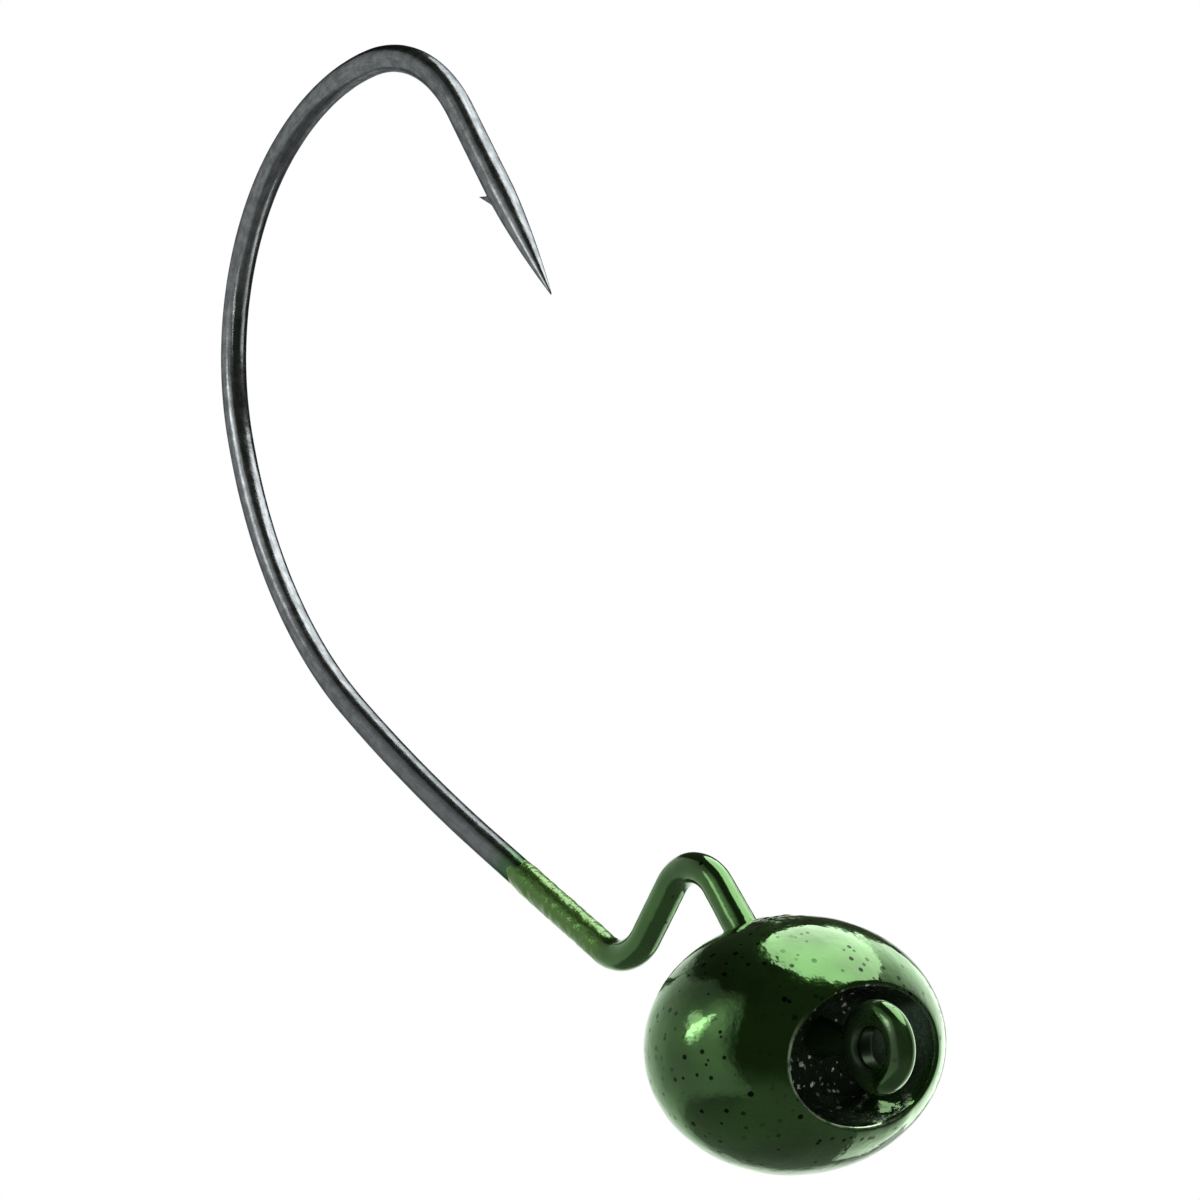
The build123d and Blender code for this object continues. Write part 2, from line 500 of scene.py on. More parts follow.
def green_paint(name, fleck_share, ripple_depth, recess_shade=None, grit=None, thin_and_highlight=None, lumps=None):
    """The dipped green paint. Each function says where it is darkened as painted shade, gritty, paler
    as thin film and as painted highlight, or lumpy.
    """
    material, tree, output = new_material(name)
    place = object_coordinates(tree)
    paint = new_node(
        tree, "ShaderNodeBsdfPrincipled", Metallic=metal_share, Coat_Roughness=coat_roughness,
        Coat_IOR=coat_ior, Specular_Tint=edge_tint,
    )

    thick = ramp(noise_at(place, 3.2 * MM, 3), 0.35, 0.68, 0, 1)
    colour = blend_colours(tree, thick, paint_colour, paint_deep)
    small, luck = scattered_dots(place, 0.42 * MM, 0.07 * MM, 0.12 * MM)
    chosen = ramp(luck["Green"], 1 - fleck_share, 1.02 - fleck_share, 0, 1, False)
    cluster = ramp(noise_at(place, 2.6 * MM), 0.38, 0.5, 0.35, 1)
    flecks = multiply(tree, small, chosen, cluster)
    colour = blend_colours(tree, flecks, colour, fleck_colour)
    coat = arithmetic(tree, "SUBTRACT", coat_weight, multiply(tree, flecks, 0.9 * coat_weight))
    rough = ramp(noise_at(place, 1.1 * MM, 4), 0.3, 0.75, 0.07, 0.16)
    layers = [
        (noise_at(place, 1.6 * MM, 1), ripple_depth),
        (noise_at(place, 0.45 * MM, 2), ripple_depth * 0.4),
    ]
    if recess_shade:
        shaded_recess = recess_shade(tree, place)
        dull = shaded_recess
        # Painted shade: the recess gets a darker colour, more roughness, less coat and less metal
        colour = blend_colours(tree, shaded_recess, colour, recess_shade_colour)
        rough = arithmetic(tree, "ADD", rough, multiply(tree, shaded_recess, 0.24))
        coat = multiply(tree, coat, ramp(shaded_recess, 0, 1, 1, 0.1))
        if not grit:
            # Where the painted shade of a recess without grit is darkest, the paint keeps its metal, or
            # it would shine grey
            dull = multiply(tree, shaded_recess, ramp(shaded_recess, 0.85, 0.95, 1, 0.1))
        if thin_and_highlight:
            # Paler where the film is thin, and on the pocket's rim also as a painted highlight
            thin_and_highlit = thin_and_highlight(tree, place)
            colour = blend_colours(tree, thin_and_highlit, colour, thin_and_highlight_colour)
            dull = arithmetic(tree, "MAXIMUM", thin_and_highlit, shaded_recess)
        metal = arithmetic(tree, "SUBTRACT", metal_share, multiply(tree, dull, dull_loss))
        join(metal, paint.inputs["Metallic"])
    if lumps:
        lumpy = lumps(tree)
        colour = blend_colours(tree, lumpy, colour, lumpy_colour)
        rough = arithmetic(tree, "ADD", rough, multiply(tree, lumpy, 0.25))
        uneven = noise_at(place, 0.38 * MM, 2)
        layers.append((multiply(tree, uneven, lumpy), 0.06 * MM))
    if grit:
        gritty = grit(tree, place, shaded_recess)
        # Painted light: the pocket's right wall is lighter, most towards its top
        smooth = multiply(tree, lit_right_wall(tree, place), shaded_recess)
        colour = blend_colours(tree, smooth, colour, lit_wall_colour)
        # Pale specks on the grit are painted glints
        glints, luck = scattered_dots(jittered(place), 0.27 * MM, 0.02 * MM, 0.12 * MM)
        shown = multiply(tree, glints, ramp(luck["Blue"], 0.4, 0.7, 0, 1), gritty)
        colour = blend_colours(tree, shown, colour, grit_and_glint_colour)
        grains, _ = scattered_dots(place, 0.26 * MM, 0.03 * MM, 0.11 * MM)
        layers.append((multiply(tree, grains, gritty), 0.06 * MM))
        crust = noise_at(place, 0.42 * MM, 4, 0.65)
        layers.append((multiply(tree, crust, shaded_recess), 0.16 * MM))
    join(colour, paint.inputs["Base Color"])
    join(rough, paint.inputs["Roughness"])
    join(coat, paint.inputs["Coat Weight"])
    normal = bumps(tree, layers)
    join(normal, paint.inputs["Normal"])
    join(normal, paint.inputs["Coat Normal"])
    join(paint.outputs[0], output.inputs["Surface"])
    return material


print("metal", metal_share, "coat", coat_weight)

# %% [markdown]
# ## Where the paint differs
# Masks say where the paint isn't plain green. Each is a few ramps over the place on the
# piece: the pocket lies within an oval round its own middle line and is darkened as painted
# shade, its right wall is lightened as painted light, dust stuck on the pocket's left and
# floor, pale specks on the dust are painted glints, the rim is paler along its left and lower
# edge where the film drew thin and as a painted highlight, and the eye is darkened inside
# and behind as painted shade.

# %% Masks for the head
pocket_half_width = 3.77 * MM
pocket_half_height = 2.76 * MM
pocket_depth = 2.6 * MM
pocket_centre = head_centre.z + 0.06 * MM
gate_place = head_centre + Vector((-0.4 * MM, -0.9 * MM, head_radius))
pool_place = head_centre + Vector((2.95 * MM, 1.5 * MM, -2.15 * MM))
pool_start, pool_end = head_centre.x + 2.8 * MM, head_centre.x + 3.1 * MM


def pocket_reach(place):
    """0 on the pocket's middle line and 1 at its rim, and the oval place that it comes from."""
    oval = mapped(
        place, (0, 0, -pocket_centre / pocket_half_height),
        (0, 1 / pocket_half_width, 1 / pocket_half_height),
    )
    return length_of(oval), oval


def shaded_pocket(tree, place):
    """1 on the pocket's walls and floor, where the paint is darkened as painted shade, 0 on the outside
    of the head and on the pool.
    """
    reach, _ = pocket_reach(place)
    across = ramp(reach, 0.93, 1.0, 1, 0)
    forward = split(place)["X"]
    front = ramp(forward, head_centre.x, head_centre.x + 1 * MM, 0, 1)
    waver = multiply(tree, noise_at(place, 0.5 * MM, 3), 0.9 * MM)
    from_pool = arithmetic(tree, "ADD", distance_to(place, pool_place), waver)
    clear = ramp(from_pool, 1.4 * MM, 1.65 * MM, 0.12, 1)
    clear = arithmetic(tree, "MAXIMUM", clear, ramp(forward, pool_start, pool_end, 1, 0))
    return multiply(tree, across, front, clear)


def gritty_side(tree, place, shaded_recess):
    """The pocket's floor and its left wall, where dust stuck in the wet paint."""
    left = ramp(split(place)["Y"], 0.4 * MM, 1.8 * MM, 1, 0)
    patchy = ramp(noise_at(place, 1.3 * MM), 0.42, 0.55, 0.1, 1)
    return multiply(tree, left, patchy, shaded_recess)


def lit_right_wall(tree, place):
    """The right wall of the pocket, free of grit and made lighter as painted light, most towards its
    top.
    """
    parts = split(place)
    right = ramp(parts["Y"], 2.4 * MM, 3.0 * MM, 0, 1)
    return multiply(tree, right, ramp(parts["Z"], -1.6 * MM, 0.4 * MM, 0.25, 1))


def scar_bits(tree, place):
    """Pale bits on the casting's gate scar, at the top of the head behind the wire."""
    waver = multiply(tree, noise_at(place, 0.9 * MM, 2), 2.6 * MM)
    from_gate = arithmetic(tree, "ADD", distance_to(place, gate_place), waver)
    near = ramp(from_gate, 1.6 * MM, 2.6 * MM, 0.75, 0)
    return multiply(tree, near, ramp(noise_at(place, 0.32 * MM, 4, 0.6), 0.46, 0.54, 0, 1))


def rim_highlight_and_scar(tree, place):
    """The pocket's left and lower edge, paler where wet paint drew back and as a painted highlight, and
    the gate scar.
    """
    rim_middle, rim_highlight_paleness, slant = 1.008, 0.55, -0.7
    reach, oval = pocket_reach(place)
    off_edge = arithmetic(tree, "ABSOLUTE", arithmetic(tree, "SUBTRACT", reach, rim_middle))
    line = ramp(off_edge, 0.008, 0.026, 1, 0)
    parts = split(oval)
    left, low = multiply(tree, parts["Y"], slant), multiply(tree, parts["Z"], slant)
    # Painted highlight: the rim is pale only on its left and lower side
    side = ramp(arithmetic(tree, "ADD", left, low), 0.0, 0.6, 0, rim_highlight_paleness)
    front = ramp(split(place)["X"], head_centre.x, 0, 0, 1)
    uneven = ramp(noise_at(place, 0.7 * MM), 0.35, 0.6, 0.35, 1)
    edge = multiply(tree, line, side, front, uneven)
    return arithmetic(tree, "MAXIMUM", edge, scar_bits(tree, place))


head_paint = green_paint("green_paint_head", 0.7, 0.036 * MM, shaded_pocket, gritty_side, rim_highlight_and_scar)
print("paint material", head_paint.name)

# %% Masks for the wire and the eye
def lumpy_shank(tree):
    """The paint on the shank, which set thick and rough. Read from the length along the wire."""
    straight = new_node(tree, "ShaderNodeAttribute", attribute_name="straight").outputs["Vector"]
    along = split(straight)["X"]
    return ramp(along, neck_length - 1.2 * MM, neck_length + 0.3 * MM, 0, 1)


def shaded_eye(tree, place):
    """Painted shade: 1 in the hole of the line tie, most of the way on its back half, and part of the
    way on its side towards -Y at mid height.
    """
    from_axis = length_of(mapped(place, scale=(1, 0, 1)))
    # Painted shade in the hole
    hole = ramp(from_axis, 0.80 * MM, 0.90 * MM, 1, 0)
    parts = split(place)
    # Painted shade on the back half of the ring
    shade_behind = ramp(parts["X"], -0.1 * MM, 0.5 * MM, 0.82, 0)
    # Painted shade on the ring's side towards -Y, at mid height
    thick = multiply(
        tree,
        ramp(parts["Y"], -0.35 * MM, 0.15 * MM, 0.62, 0),
        ramp(parts["Z"], -1.1 * MM, -0.2 * MM, 0, 1),
        ramp(parts["Z"], 0.9 * MM, 1.4 * MM, 1, 0),
    )
    return arithmetic(tree, "MAXIMUM", arithmetic(tree, "MAXIMUM", hole, shade_behind), thick)


eye_paint = green_paint("green_paint_eye", 0.12, 0.02 * MM, shaded_eye)
print("paint material", eye_paint.name)

# %% [markdown]
# ## Black nickel
# The bare hook is plated in black nickel, a dark grey mirror. Up close it is mottled, because
# the plate follows the drawn wire and the marks of the bending tools. Fine streaks from the
# drawing die run along it. Next to the paint a thin green haze is left where the dip ran
# thin. Streaks and haze follow the wire round its bends, so the wire's maker stores on every
# point where it lay when the wire was straight, as an attribute.

# %% Black nickel plate
nickel_colour = (0.205, 0.218, 0.222, 1)
nickel_dull = (0.125, 0.134, 0.137, 1)
nickel_edge = (0.3, 0.31, 0.32, 1)
haze_colour = (0.045, 0.12, 0.04, 1)
streak_stretch = 0.12
dull_reach = 20 * MM


def black_nickel(haze_start, haze_end):
    """The plated steel, with a green haze between two lengths along the wire."""
    material, tree, output = new_material("black_nickel")
    place = object_coordinates(tree)
    steel = new_node(tree, "ShaderNodeBsdfPrincipled", Metallic=1.0, Specular_Tint=nickel_edge)
    straight = new_node(tree, "ShaderNodeAttribute", attribute_name="straight").outputs["Vector"]
    streaks = noise_at(mapped(straight, scale=(streak_stretch, 1, 1)), 0.15 * MM, 3, 0.6)
    mottle = arithmetic(tree, "ADD", noise_at(place, 0.55 * MM, 4, 0.6), streaks)
    colour = blend_colours(tree, ramp(mottle, 0.78, 1.2, 0, 1), nickel_colour, nickel_dull)
    along = split(straight)["X"]
    near_paint = ramp(along, haze_end, haze_end + dull_reach, 0.6, 0)
    colour = blend_colours(tree, near_paint, colour, nickel_dull)
    ragged = multiply(tree, noise_at(place, 0.5 * MM, 3), 1.6 * MM)
    haze = ramp(arithmetic(tree, "ADD", along, ragged), haze_start, haze_end, 0.85, 0)
    join(blend_colours(tree, haze, colour, haze_colour), steel.inputs["Base Color"])
    rough = ramp(noise_at(place, 0.4 * MM, 5, 0.7), 0.3, 0.7, 0.15, 0.28)
    join(rough, steel.inputs["Roughness"])
    normal = bumps(tree, [
        (noise_at(place, 0.7 * MM, 2), 0.016 * MM),
        (streaks, 0.006 * MM),
        (noise_at(place, 0.12 * MM, 2), 0.002 * MM),
    ])
    join(normal, steel.inputs["Normal"])
    join(steel.outputs[0], output.inputs["Surface"])
    return material


print("nickel", nickel_colour[:3])

# %% [markdown]
# ## Drawing a wire
# A real hook is made by pushing wire forward and bending it round pins. The same two moves
# make the mesh: a circle is extruded and slid along a straight, or extruded and turned
# about a bend's centre. Every ring of points keeps its centre and its length along the
# wire, so that later steps can swell, taper or roughen it there.

# %% Wire maker
def only(geometry, kind):
    """The items of one kind, such as bmesh.types.BMVert, in what an operator returns."""
    return [item for item in geometry if isinstance(item, kind)]


def edges_at(verts):
    """The edges at some points, each once, in the order of the points."""
    return list(dict.fromkeys(edge for vert in verts for edge in vert.link_edges))


def draw_wire(bm, start, heading, runs, radius, segments, stride):
    """Draws a round wire in the XZ plane from runs of (straight, bend radius, turn in degrees)."""
    largest_step = 4
    straight_layer = bm.verts.layers.float_vector.new("straight")
    heading = math.radians(heading)
    direction = Vector((math.cos(heading), 0, math.sin(heading)))
    upright = Matrix.Translation(start) @ direction.to_track_quat("Z", "Y").to_matrix().to_4x4()
    circle = bmesh.ops.create_circle(bm, segments=segments, radius=radius, matrix=upright)
    verts = circle["verts"]
    for vert in verts:
        place = upright.inverted() @ vert.co
        vert[straight_layer] = (0, place.x, place.y)
    edges = edges_at(verts)
    rings = [(0.0, Vector(start), verts)]

    def push(move, length):
        """Extrudes the last ring, moves it and notes where it is."""
        nonlocal edges
        along, centre, _ = rings[-1]
        grown = bmesh.ops.extrude_edge_only(bm, edges=edges)["geom"]
        verts = only(grown, bmesh.types.BMVert)
        edges = [edge for edge in only(grown, bmesh.types.BMEdge) if set(edge.verts) <= set(verts)]
        bmesh.ops.transform(bm, matrix=move, verts=verts)
        for vert in verts:
            vert[straight_layer] = vert[straight_layer] + Vector((length, 0, 0))
        rings.append((along + length, move @ centre, verts))

    for straight, bend_radius, turn in runs:
        steps = math.ceil(straight / stride)
        for _ in range(steps):
            step = Matrix.Translation(direction * straight / steps)
            push(step, straight / steps)
        if turn:
            sideways = Vector((-math.sin(heading), 0, math.cos(heading))) * math.copysign(1, turn)
            pin = rings[-1][1] + sideways * bend_radius
            arc = abs(math.radians(turn)) * bend_radius
            steps = max(math.ceil(arc / stride), math.ceil(abs(turn) / largest_step))
            turned = Matrix.Rotation(-math.radians(turn) / steps, 4, "Y")
            step = Matrix.Translation(pin) @ turned @ Matrix.Translation(-pin)
            for _ in range(steps):
                push(step, arc / steps)
            heading += math.radians(turn)
            direction = Vector((math.cos(heading), 0, math.sin(heading)))
    return rings, direction


def set_radius(rings, radius, radius_at):
    """Makes each ring as wide as radius_at says for its length along the wire."""
    for along, centre, verts in rings:
        for vert in verts:
            vert.co = centre + (vert.co - centre) * (radius_at(along, vert.co) / radius)


def ramp_between(value, low, high, at_low, at_high):
    """The same straight ramp as in the materials, for lengths."""
    share = min(max((value - low) / (high - low), 0), 1)
    return at_low + (at_high - at_low) * share


def finish_piece(bm, name, material, stands_for):
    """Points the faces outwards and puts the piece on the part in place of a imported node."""
    bmesh.ops.recalc_face_normals(bm, faces=bm.faces)
    piece = link_object(name, bm, material)
    piece.data.shade_smooth()
    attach(piece, "root")
    for node in stands_for:
        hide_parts(node)
    reach = [round(size / MM, 2) for size in piece.dimensions]
    print(name, len(piece.data.polygons), "faces, reach in mm", reach)
    return piece


def close_ends(bm, rings):
    """Caps the first and the last ring of points with one face each."""
    for _, _, verts in (rings[0], rings[-1]):
        bmesh.ops.contextual_create(bm, geom=verts)


print("wire maker ready")

# %% [markdown]
# ## The hook
# One wire makes the whole hook: a tapered leg behind the eye, a bend buried in the lead, the
# riser, the Z-bent neck, the shank and the bend. The needle point is ground with a slight
# belly. The barb is a sliver lifted from the inside of the bend, so it starts as a small
# outline that is extruded and bevelled.

# %% Hook sizes
wire_radius = 0.625 * MM
eye_ring_radius = 1.25 * MM
eye_wire_radius = 0.52 * MM
eye_leg_radius = 0.48 * MM
eye_hole_radius = 0.76 * MM
eye_taper = 1.5 * MM
leg_overlap = 0.05 * MM
point_length = 6.0 * MM
point_leg_length = 5.1 * MM
belly_radius = 0.42 * MM
tip_radius = 0.03 * MM

leg_start = Vector((leg_overlap - eye_ring_radius, 0, 0))
# Straight, bend radius and turn in degrees
neck_runs = [
    (leg_overlap + eye_taper + 0.75 * MM, 2.5 * MM, -47.2),
    (6.3 * MM, 2.0 * MM, 100.1),
    (2.8 * MM, 2.4 * MM, -77.3),
]
bend_runs = [
    (9.6 * MM, 103.0 * MM, -6.8),
    (0, 23.5 * MM, -42.0),
    (0, 12.6 * MM, -67.7),
    (0, 14.7 * MM, -33.7),
    (0, 8.2 * MM, -57.1),
    (point_leg_length + point_length, 0, 0),
]


def run_length(runs):
    """The length of wire that some runs take."""
    return sum(straight + abs(math.radians(turn)) * bend for straight, bend, turn in runs)


neck_length = run_length(neck_runs)
hook_length = neck_length + run_length(bend_runs)
coated_end = neck_length + 6.9 * MM
wire_paint = green_paint("green_paint_wire", 0.12, 0.03 * MM, lumps=lumpy_shank)
nickel = black_nickel(coated_end + 0.5 * MM, coated_end + 2.6 * MM)
print("wire length", round(hook_length / MM, 1), "mm, painted to", round(coated_end / MM, 1), "mm")

# %% Bend the hook
bm = bmesh.new()
rings, point_direction = draw_wire(
    bm, leg_start, 180, neck_runs + bend_runs, wire_radius, segments=40, stride=0.3 * MM
)
tip = rings[-1][1].copy()
unevenness = 0.006


def needle_radius(share):
    """The ground point: tip, belly and full wire, joined by one smooth curve."""
    tip_part = tip_radius * (1 - share) * (1 - 2 * share)
    return tip_part + belly_radius * 4 * share * (1 - share) + wire_radius * share * (2 * share - 1)


def hook_radius_at(along, place):
    """Thin at the eye, full along the wire, and ground down to the needle point."""
    radius = ramp_between(along, 0, leg_overlap + eye_taper, eye_leg_radius, wire_radius)
    from_tip = (hook_length - along) / point_length
    if from_tip < 1:
        radius = needle_radius(from_tip)
    return radius * (1 + unevenness * noise.noise(place / (0.9 * MM)))


set_radius(rings, wire_radius, hook_radius_at)
close_ends(bm, rings)
print("tip at", [round(c / MM, 2) for c in tip], "mm, rings", len(rings))

# %% Roll the eye
def flat_inside(bm_verts, radius):
    """Presses a ring flat round its hole, as the coining die does."""
    for vert in bm_verts:
        from_middle = math.hypot(vert.co.x, vert.co.z)
        if from_middle < radius:
            vert.co.x *= radius / from_middle
            vert.co.z *= radius / from_middle


def roll_ring(bm, wire, hole):
    """Spins a circle of wire about the line tie's axis."""
    before = set(bm.verts)
    beside = Matrix.Translation((eye_ring_radius, 0, 0))
    section = bmesh.ops.create_circle(bm, segments=36, radius=wire, matrix=beside)["verts"]
    bmesh.ops.spin(
        bm, geom=section + edges_at(section), cent=(0, 0, 0), axis=(0, 1, 0), angle=2 * math.pi,
        steps=88, use_merge=True,
    )
    flat_inside([vert for vert in bm.verts if vert not in before], hole)


roll_ring(bm, eye_wire_radius, eye_hole_radius)
print("eye hole", round(2 * eye_hole_radius / MM, 2), "mm across")

# %% Lift the barb
barb_root, barb_base, barb_rake = 5.7 * MM, 0.9 * MM, 0.45 * MM
barb_height, barb_sink, barb_width = 0.7 * MM, 0.16 * MM, 0.45 * MM
barb_edge_share, barb_round = 0.3, 0.045 * MM
inward = Vector((0, 1, 0)).cross(point_direction)
front_root = tip - point_direction * barb_root
rear_root = front_root - point_direction * barb_base
root_depth = wire_radius - barb_sink
outline = [
    front_root + point_direction * 0.25 * MM + inward * root_depth,
    front_root - point_direction * 0.45 * MM + inward * (wire_radius + 0.16 * MM),
    rear_root - point_direction * barb_rake + inward * (wire_radius + barb_height),
    rear_root + point_direction * 0.12 * MM + inward * (wire_radius + 0.08 * MM),
    rear_root + inward * root_depth,
]
sliver = [bm.verts.new(place - Vector((0, barb_width / 2, 0))) for place in outline]
side = bmesh.ops.contextual_create(bm, geom=sliver)["faces"]
grown = bmesh.ops.extrude_face_region(bm, geom=side)["geom"]
far_side = only(grown, bmesh.types.BMVert)
bmesh.ops.translate(bm, verts=far_side, vec=(0, barb_width, 0))
for vert in sliver + far_side:
    if (vert.co - tip).dot(inward) > wire_radius + barb_height / 2:
        vert.co.y *= barb_edge_share
barb_verts = set(sliver + far_side)
barb_edges = [edge for edge in bm.edges if set(edge.verts) <= barb_verts]
bmesh.ops.bevel(
    bm, geom=barb_edges, offset=barb_round, offset_type="OFFSET", segments=3, profile=0.5,
    affect="EDGES", material=-1, clamp_overlap=True,
)
straight_layer = bm.verts.layers.float_vector["straight"]
for vert in bm.verts:
    if vert[straight_layer].x == 0 and vert.co.x < -10 * MM:
        vert[straight_layer] = (hook_length - barb_root, vert.co.y, vert.co.z)
finish_piece(bm, "plated_hook", nickel, ["hook"])

# %% [markdown]
# ## Paint on the neck
# The dip leaves a film of a few hundredths of a millimetre on the wire. It is thicker on the
# riser, where it ran down to the head and pooled in a small collar, and it thins out to a
# ragged edge on the shank. A second, slightly wider wire along the same bends is that film.

# %% Coat the neck
film = 0.04 * MM
film_at_head = 0.09 * MM
collar_height, collar_swell = 0.5 * MM, 0.16 * MM
buried_length = run_length([neck_runs[0]])
head_exit = buried_length + 3.77 * MM
lump_height = 0.035 * MM
edge_length, edge_wander = 1.1 * MM, 0.45 * MM

bm = bmesh.new()
rings, _ = draw_wire(
    bm, leg_start, 180, neck_runs + [(coated_end - neck_length, 0, 0)], wire_radius, 40, 0.16 * MM
)
inner_rings = [ring for ring in rings if ring[0] < head_exit - 1.2 * MM]
outer_rings = rings[len(inner_rings):]
bmesh.ops.delete(bm, geom=[vert for ring in inner_rings for vert in ring[2]], context="VERTS")


def film_radius_at(along, place):
    """The painted wire's radius, with its collar, its runs and its thin ragged edge."""
    thick = ramp_between(along, head_exit, head_exit + 2.6 * MM, film_at_head, film)
    collar = ramp_between(along, head_exit - collar_height, head_exit + collar_height, 1, 0)
    thick += collar_swell * collar**2
    thick += 0.012 * MM * noise.noise(place / (1.3 * MM)) + 0.006 * MM * noise.noise(place / (0.4 * MM))
    lumpy = ramp_between(along, neck_length - 1.5 * MM, neck_length + 0.5 * MM, 0, 1)
    thick += lump_height * lumpy * noise.noise(place / (0.33 * MM))
    ragged = edge_wander * noise.noise(place / (0.5 * MM))
    fade = ramp_between(along + ragged, coated_end - edge_length, coated_end - 0.1 * MM, 1, -0.12)
    return wire_radius + thick * fade


set_radius(outer_rings, wire_radius, film_radius_at)
close_ends(bm, outer_rings)
finish_piece(bm, "neck_film", wire_paint, ["neck_paint"])

# %% [markdown]
# ## Paint on the eye
# The ring and its leg get the same film. Voxels melt ring and leg into one skin with a soft
# fillet between them, as liquid paint would, and a little smoothing takes the steps out.

# %% Coat the eye
def melt_together(bm, voxel, rounds):
    """Melts overlapping shells into one skin. Voxels have a least size, so it works in millimetres."""
    bmesh.ops.recalc_face_normals(bm, faces=bm.faces)
    bmesh.ops.scale(bm, vec=(1 / MM, 1 / MM, 1 / MM), verts=bm.verts)
    rough = bpy.data.meshes.new("rough")
    bm.to_mesh(rough)
    bm.free()
    lump = bpy.data.objects.new("lump", rough)
    scene.collection.objects.link(lump)
    melt = lump.modifiers.new("melt", "REMESH")
    melt.mode = "VOXEL"
    melt.voxel_size = voxel
    settle = lump.modifiers.new("settle", "SMOOTH")
    settle.factor = 0.5
    settle.iterations = rounds
    skin = bpy.data.meshes.new_from_object(lump.evaluated_get(bpy.context.evaluated_depsgraph_get()))
    bpy.data.objects.remove(lump)
    smooth = bmesh.new()
    smooth.from_mesh(skin)
    bmesh.ops.scale(smooth, vec=(MM, MM, MM), verts=smooth.verts)
    return smooth


eye_film, hole_film = 0.05 * MM, 0.012 * MM
bm = bmesh.new()
leg_runs = [(leg_overlap + eye_taper + 1.0 * MM, 0, 0)]
rings, _ = draw_wire(bm, leg_start, 180, leg_runs, wire_radius, 32, 0.2 * MM)


def eye_leg_radius_at(along, place):
    """The painted leg of the eye, with a collar on the pocket's floor."""
    radius = ramp_between(along, 0, leg_overlap + eye_taper, eye_leg_radius, wire_radius)
    collar = ramp_between(along, 1.5 * MM, 2.2 * MM, 0, 0.14 * MM)
    return radius + eye_film + collar


set_radius(rings, wire_radius, eye_leg_radius_at)
close_ends(bm, rings)
roll_ring(bm, eye_wire_radius + eye_film, eye_hole_radius)
bm = melt_together(bm, voxel=0.04, rounds=5)
flat_inside(bm.verts, eye_hole_radius - hole_film)
finish_piece(bm, "eye_film", eye_paint, ["eye_paint"])

# %% [markdown]
# ## Paint on the head
# The casting is a football with an oval pocket. A half outline is spun about the hook's
# forward axis to give rings from the back of the head to the rim, down the pocket's drafted
# wall and over its floor. The rings are then stretched sideways into the football, and the
# rim and the foot of the wall are bevelled round.

# %% Spin the head
pocket_draft = math.tan(math.radians(13))
coat = 0.06 * MM
lead_radius = head_radius - coat
lead_half_length = head_half_length - coat
rim_x = lead_radius * math.sqrt(1 - (pocket_half_width / lead_half_length) ** 2)
floor_x = rim_x - pocket_depth + coat
mouth_width, mouth_height = pocket_half_width - coat, pocket_half_height - coat
floor_shrink = (pocket_depth - coat) * pocket_draft
mouth_turn = math.pi - math.asin(mouth_height / head_radius)

bm = bmesh.new()
outside_steps, wall_steps, floor_steps = 76, 9, 8
columns = 160
rim_round = 0.2 * MM
foot_round = 0.8 * MM


def evenly(start, end, steps, spare_start, spare_end):
    """Shares from 0 to 1, with room left beside each end for a bevel."""
    used = end - start - spare_start - spare_end
    return [(spare_start + used * i / steps) / (end - start) for i in range(steps + 1)]


outside_shares = evenly(0, mouth_turn * head_radius, outside_steps, 0, 1.3 * rim_round) + [1]
profile = []
for share in outside_shares:
    angle = mouth_turn * share
    profile.append(Vector((-head_radius * math.cos(angle), 0, head_radius * math.sin(angle))))
mouth_point = profile[-1]
floor_point = Vector((floor_x, 0, mouth_height - floor_shrink))
wall_length = (mouth_point - floor_point).length
wall_shares = evenly(0, wall_length, wall_steps, 1.3 * rim_round, 1.1 * foot_round) + [1]
profile += [mouth_point.lerp(floor_point, share) for share in wall_shares]
floor_middle = Vector((floor_x, 0, 0))
floor_shares = evenly(0, floor_point.z, floor_steps, 1.1 * foot_round, 0)
profile += [floor_point.lerp(floor_middle, share) for share in floor_shares]
row_layer = bm.verts.layers.int.new("row")
outline = [bm.verts.new(place) for place in profile]
for row, vert in enumerate(outline):
    vert[row_layer] = row
lines = [bm.edges.new(pair) for pair in zip(outline, outline[1:])]
bmesh.ops.spin(
    bm, geom=outline + lines, cent=(0, 0, 0), axis=(1, 0, 0), angle=2 * math.pi, steps=columns,
    use_merge=True,
)
bmesh.ops.remove_doubles(bm, verts=bm.verts, dist=0.001 * MM)
print("rings", len(profile), "faces", len(bm.faces))

# %% Stretch it into a football
football_ratio = head_half_length / head_radius
mouth_ratio = mouth_width / mouth_height
floor_ratio = (mouth_width - floor_shrink) / (mouth_height - floor_shrink)
last_outside = len(outside_shares) - 1
last_wall = last_outside + len(wall_shares)


def on_football(y, z):
    """How far in front of the head's centre the paint's surface is."""
    return head_radius * math.sqrt(max(0, 1 - (y / head_half_length) ** 2 - (z / head_radius) ** 2))


for vert in bm.verts:
    row = vert[row_layer]
    if row <= last_outside:
        share = ramp_between(vert.co.x, 0, mouth_point.x, 0, 1)
        share = share * share * (3 - 2 * share)
        vert.co.y *= football_ratio + (mouth_ratio - football_ratio) * share
        if vert.co.x > 0:
            vert.co.x = on_football(vert.co.y, vert.co.z)
    elif row <= last_wall:
        down = wall_shares[row - last_outside - 1]
        swell = mouth_height / (mouth_height - floor_shrink * down)
        rim = on_football(vert.co.y * swell * mouth_ratio, vert.co.z * swell)
        vert.co.y *= mouth_ratio + (floor_ratio - mouth_ratio) * down
        vert.co.x = rim + (floor_x - rim) * down
    else:
        vert.co.y *= floor_ratio
    vert.co += head_centre
print("pocket", round(2 * mouth_width / MM, 2), "by", round(2 * mouth_height / MM, 2), "mm")

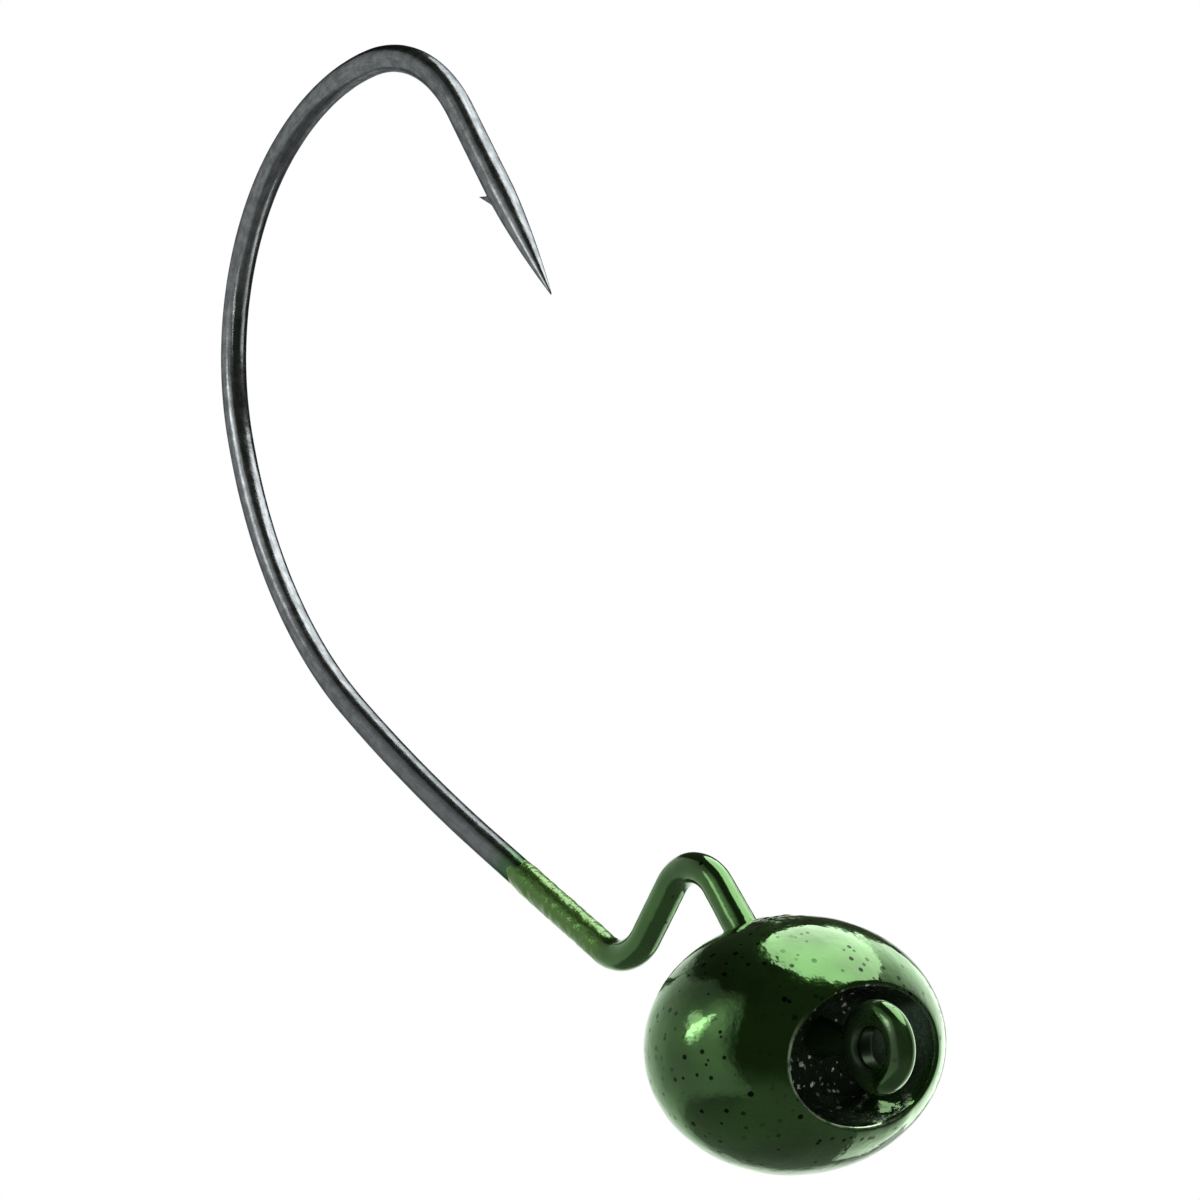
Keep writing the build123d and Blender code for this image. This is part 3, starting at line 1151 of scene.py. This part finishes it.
# %% Round the rim and the foot of the wall
def ring_edges(row):
    """The edges that run round the head on one row of the spun outline."""
    return [edge for edge in bm.edges if all(vert[row_layer] == row for vert in edge.verts)]


for row, width, segments in ((last_outside, rim_round, 6), (last_wall, foot_round, 9)):
    bmesh.ops.bevel(
        bm, geom=ring_edges(row), offset=width, offset_type="OFFSET", segments=segments, profile=0.5,
        affect="EDGES", material=-1,
    )
print("faces", len(bm.faces))

# %% Give the paint its runs and the casting its scar
run_height, ripple_height = 0.012 * MM, 0.005 * MM
gate_core, gate_reach, gate_height = 0.4 * MM, 1.5 * MM, 0.16 * MM
pool_reach, pool_height, pool_lumps = 1.6 * MM, 0.52 * MM, 0.10 * MM
floor_lumps = 0.05 * MM


def film_swell(place):
    """How far the paint's surface stands off its true form."""
    swell = run_height * noise.noise(place / (2.4 * MM))
    swell += ripple_height * noise.noise(place / (0.8 * MM))
    near_gate = ramp_between((place - gate_place).length, gate_core, gate_reach, 1, 0)
    swell += near_gate * gate_height * (abs(noise.noise(place / (0.42 * MM))) * 2 - 0.2)
    near_pool = ramp_between((place - pool_place).length, 0, pool_reach, 1, 0)
    swell += pool_height * near_pool * near_pool * (3 - 2 * near_pool)
    swell += pool_lumps * near_pool * noise.noise(place / (0.55 * MM))
    across = math.hypot(place.y / pocket_half_width, (place.z - pocket_centre) / pocket_half_height)
    if across < 0.9 and place.x > head_centre.x:
        swell += floor_lumps * (0.4 + noise.noise(place / (0.6 * MM)))
    return swell


bmesh.ops.recalc_face_normals(bm, faces=bm.faces)
bm.normal_update()
swells = [(vert, vert.normal * film_swell(vert.co)) for vert in bm.verts]
for vert, step in swells:
    vert.co += step
head = finish_piece(bm, "head_film", head_paint, ["head_paint"])
finer = head.modifiers.new("finer", "SUBSURF")
finer.levels = 1
finer.render_levels = 1

# %% [markdown]
# ## The lead
# The casting lies wholly under its paint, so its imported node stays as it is. It still gets a
# dull lead grey with the bloom of an old casting, for anyone who takes the paint away.

# %% Dull lead
lead_colour = (0.22, 0.225, 0.24, 1)
bloom_colour = (0.36, 0.36, 0.37, 1)
lead, tree, output = new_material("dull_lead")
place = object_coordinates(tree)
metal = new_node(tree, "ShaderNodeBsdfPrincipled", Metallic=0.9)
bloom = ramp(noise_at(place, 1.4 * MM, 5, 0.6), 0.35, 0.7, 0, 1)
join(blend_colours(tree, bloom, lead_colour, bloom_colour), metal.inputs["Base Color"])
join(ramp(bloom, 0, 1, 0.42, 0.65), metal.inputs["Roughness"])
join(bumps(tree, [(noise_at(place, 0.5 * MM, 3), 0.02 * MM)]), metal.inputs["Normal"])
join(metal.outputs[0], output.inputs["Surface"])


def repaint(node, material):
    """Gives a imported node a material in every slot."""
    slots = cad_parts[node].material_slots
    for slot in slots:
        slot.material = material
    if not slots:
        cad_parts[node].data.materials.append(material)
    print(node, "is now", material.name)


repaint("lead_head", lead)
repaint("hook", nickel)
for node in ("head_paint", "neck_paint", "eye_paint"):
    repaint(node, head_paint)

# %% [markdown]
# ## The imported box
# The dressed part has to stay in the imported part's box, so that box is printed.

# %% Print the imported box
print("packed", cad_box)
